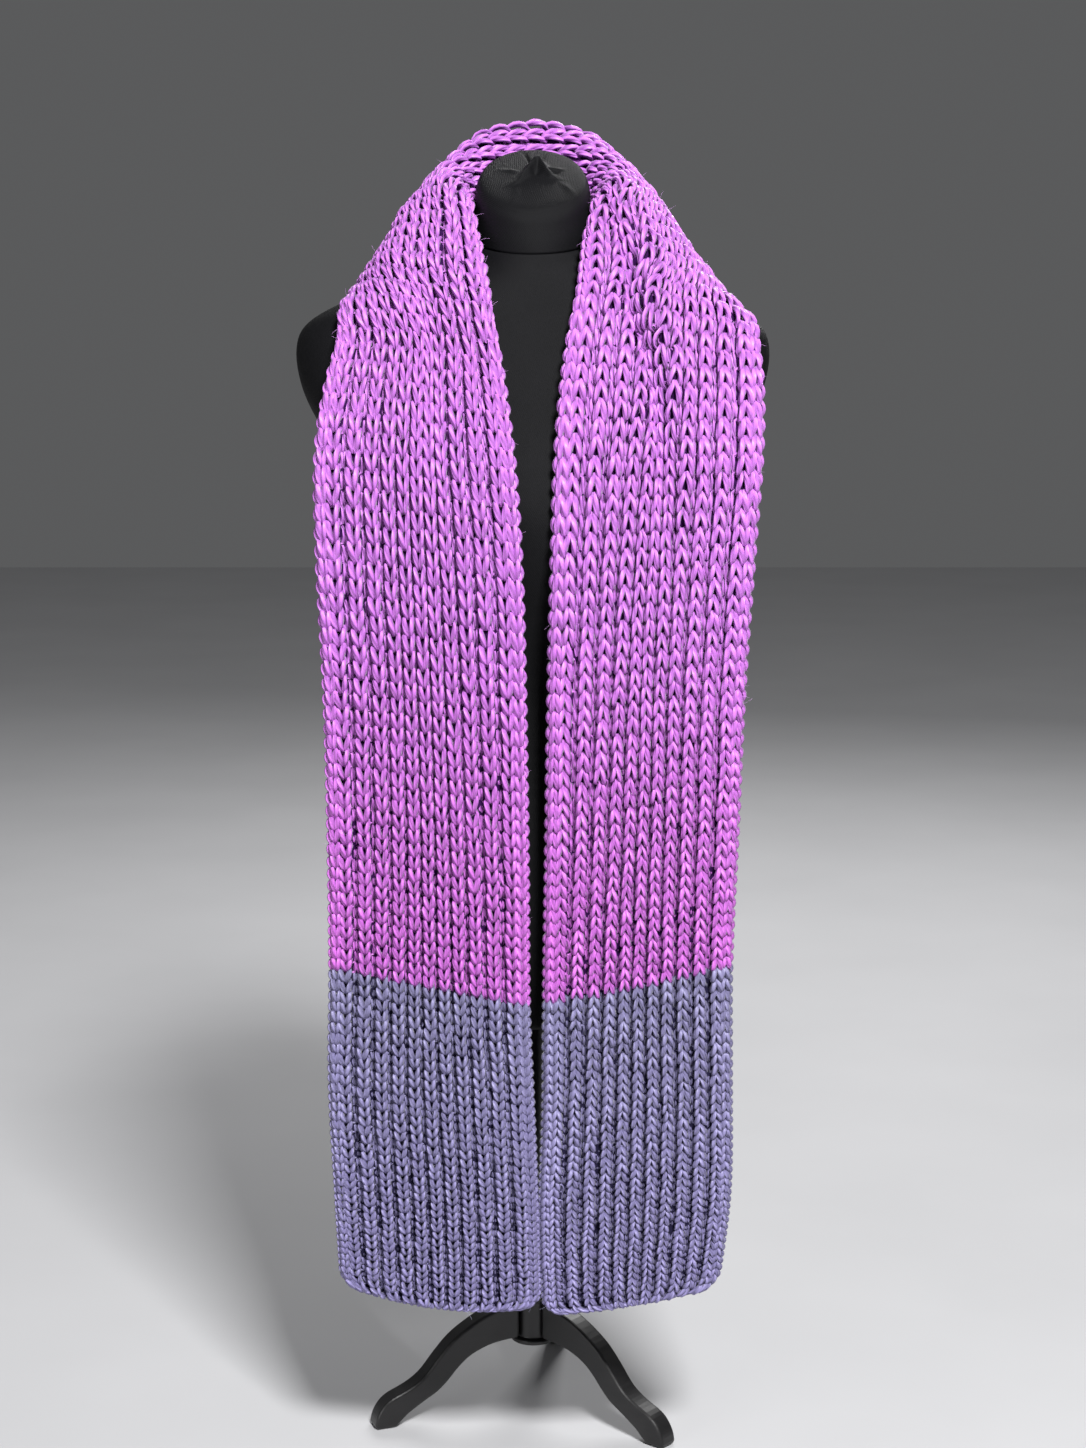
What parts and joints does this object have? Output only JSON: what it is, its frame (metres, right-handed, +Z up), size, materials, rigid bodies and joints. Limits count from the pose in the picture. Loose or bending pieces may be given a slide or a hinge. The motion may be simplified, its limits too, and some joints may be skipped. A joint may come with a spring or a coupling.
{
  "type": "knit scarf on a dress form",
  "caption": "Chunky rib-knit scarf in purple with slate ends, hung open round the neck of a black limbless dress form on a pole with curved legs.",
  "frame": {"origin": "middle of the footprint, on the floor that the three feet stand on", "axes": "+Z up, towards the neck; the front, where the scarf's two panels hang, faces -Y; +X is to the right in the picture"},
  "size_m": [0.416, 0.3006, 1.1842],
  "materials": {
    "purple_knit": "smooth plied yarn, soft sheen",
    "slate_knit": "smooth plied yarn, soft sheen",
    "black_jersey": "matt stretch jersey",
    "black_lacquer": "satin black lacquer"
  },
  "bodies": {
    "root": {"scarf_left_slate": "slate_knit", "scarf_left_purple": "purple_knit", "scarf_neck": "purple_knit", "scarf_right_purple": "purple_knit", "scarf_right_slate": "slate_knit", "form_torso": "black_jersey", "form_neck_cap": "black_jersey", "form_cap_knot": "black_jersey", "stand_pole": "black_lacquer", "stand_hub": "black_lacquer", "stand_leg_1": "black_lacquer", "stand_leg_2": "black_lacquer", "stand_leg_3": "black_lacquer"}
  },
  "joints": []
}
